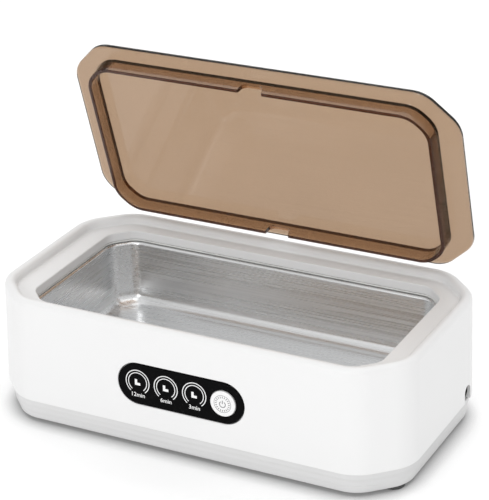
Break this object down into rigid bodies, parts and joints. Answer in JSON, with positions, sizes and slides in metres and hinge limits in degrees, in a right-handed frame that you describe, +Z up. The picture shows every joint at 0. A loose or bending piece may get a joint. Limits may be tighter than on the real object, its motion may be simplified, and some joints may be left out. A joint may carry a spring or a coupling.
{
  "type": "ultrasonic cleaner",
  "caption": "Bench-top ultrasonic cleaner: a chamfered white tub with a steel tank, a pill-shaped touch panel with a push button, and a translucent brown lid standing open.",
  "frame": {"origin": "on the table, under the middle of the machine", "axes": "+X to the user's right along the length, +Y to the rear, +Z up; the control panel faces -Y"},
  "size_m": [0.21, 0.1146, 0.1618],
  "materials": {
    "white_plastic": "smooth glossy white",
    "grey_plastic": "satin light grey with fine horizontal lines",
    "brown_lid": "clear moulded plastic, tinted brown",
    "black_gloss": "high gloss black",
    "steel": "fine brushed stainless steel",
    "silicone": "matt translucent silicone",
    "rubber": "matt dark grey rubber",
    "zinc": "zinc-plated steel",
    "board": "green solder mask",
    "lamp": "clear lamp resin",
    "ferrite": "matt dark ferrite",
    "copper": "enamelled copper wire",
    "brass": "turned brass",
    "dark_plastic": "matt black",
    "amber_plastic": "dipped amber resin",
    "cream_plastic": "matt cream nylon",
    "aluminium": "plain extruded",
    "ceramic": "silvered piezo ceramic",
    "bond": "cured epoxy",
    "red_wire": "red wire insulation",
    "black_wire": "black wire insulation",
    "grey_wire": "grey cable jacket"
  },
  "bodies": {
    "housing": {"upper_housing": "white_plastic", "bottom_cover": "grey_plastic", "steel_tank": "steel", "tank_seal": "silicone", "control_panel": "black_gloss", "switch_body": "dark_plastic", "display_board": "board", "timer_lamp_12": "lamp", "timer_lamp_6": "lamp", "timer_lamp_3": "lamp", "display_screw_left": "zinc", "display_screw_right": "zinc", "foot_left_front": "rubber", "foot_left_rear": "rubber", "foot_right_front": "rubber", "foot_right_rear": "rubber", "cover_screw_left_front": "zinc", "cover_screw_left_rear": "zinc", "cover_screw_right_front": "zinc", "cover_screw_right_rear": "zinc", "driver_board": "board", "board_screw_1": "zinc", "board_screw_2": "zinc", "board_screw_3": "zinc", "board_screw_4": "zinc", "transformer_core": "ferrite", "transformer_winding": "copper", "input_capacitor": "dark_plastic", "film_capacitor": "amber_plastic", "heat_sink": "aluminium", "drive_transistor": "dark_plastic", "supply_header": "cream_plastic", "transducer_header": "cream_plastic", "display_header": "cream_plastic", "supply_jack": "dark_plastic", "supply_jack_pin": "brass", "piezo_transducer": "ceramic", "transducer_bond": "bond", "supply_lead_red": "red_wire", "supply_lead_black": "black_wire", "transducer_lead_red": "red_wire", "transducer_lead_black": "black_wire", "display_cable": "grey_wire"},
    "lid": {"lid": "brown_lid"},
    "button": {"power_button": "white_plastic", "switch_plunger": "dark_plastic"}
  },
  "joints": [
    {"name": "lid_tip", "type": "hinge", "parent": "housing", "child": "lid", "pos_m": [0, 0.0561, 0.06065], "axis": [1, 0, 0], "range_deg": [-33, 72]},
    {"name": "button_press", "type": "slide", "parent": "housing", "child": "button", "axis": [0, 0.9998, -0.0187], "range_m": [0, 0.0008], "stiffness_N_per_m": 1500, "springref_m": -0.0005}
  ]
}
